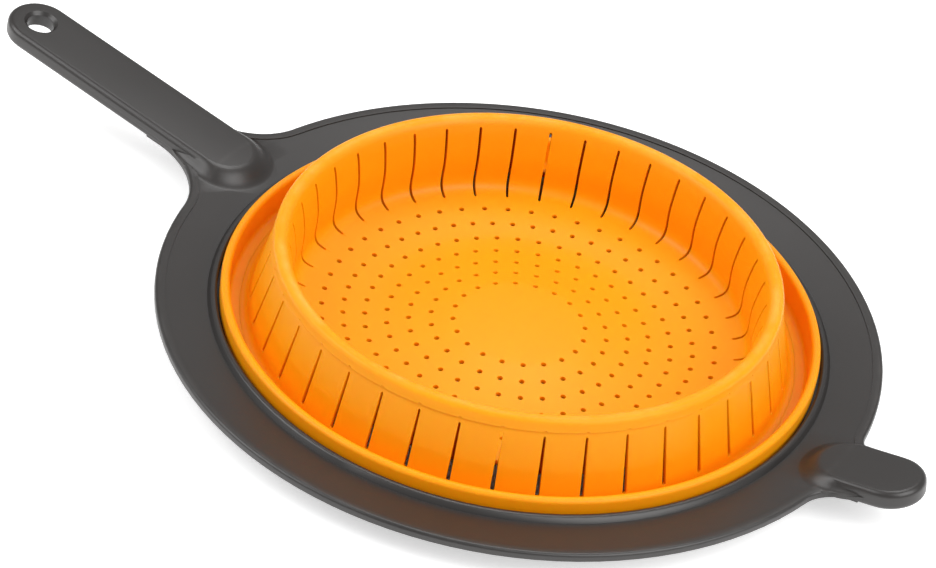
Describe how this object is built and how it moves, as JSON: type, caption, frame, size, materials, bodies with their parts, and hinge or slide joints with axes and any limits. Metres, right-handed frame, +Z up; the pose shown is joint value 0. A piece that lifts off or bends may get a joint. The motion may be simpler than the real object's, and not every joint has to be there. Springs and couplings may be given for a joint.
{
  "type": "steamer insert",
  "caption": "Pot-top steamer insert: a stiff ring with a long handle and a short tab carries a perforated silicone basket that pushes down through it.",
  "frame": {"origin": "on the basket's axis, in the plane of the skirt's foot, where the frame stands", "axes": "+X towards the short tab, the handle points along -X, +Z up along the basket's axis"},
  "size_m": [0.3913, 0.258, 0.0357],
  "materials": {
    "charcoal_nylon": "fine satin moulding",
    "orange_silicone": "smooth silk-matt silicone"
  },
  "bodies": {
    "frame": {"frame": "charcoal_nylon", "basket_collar": "orange_silicone", "basket_folding_wall": "orange_silicone"},
    "basket": {"basket_fold_band": "orange_silicone", "basket_inner_wall": "orange_silicone", "basket_floor": "orange_silicone"}
  },
  "joints": [
    {"name": "basket_pop", "type": "slide", "parent": "frame", "child": "basket", "axis": [0, 0, 1], "range_m": [-0.0544, 0], "deforming": ["basket_folding_wall"]}
  ]
}
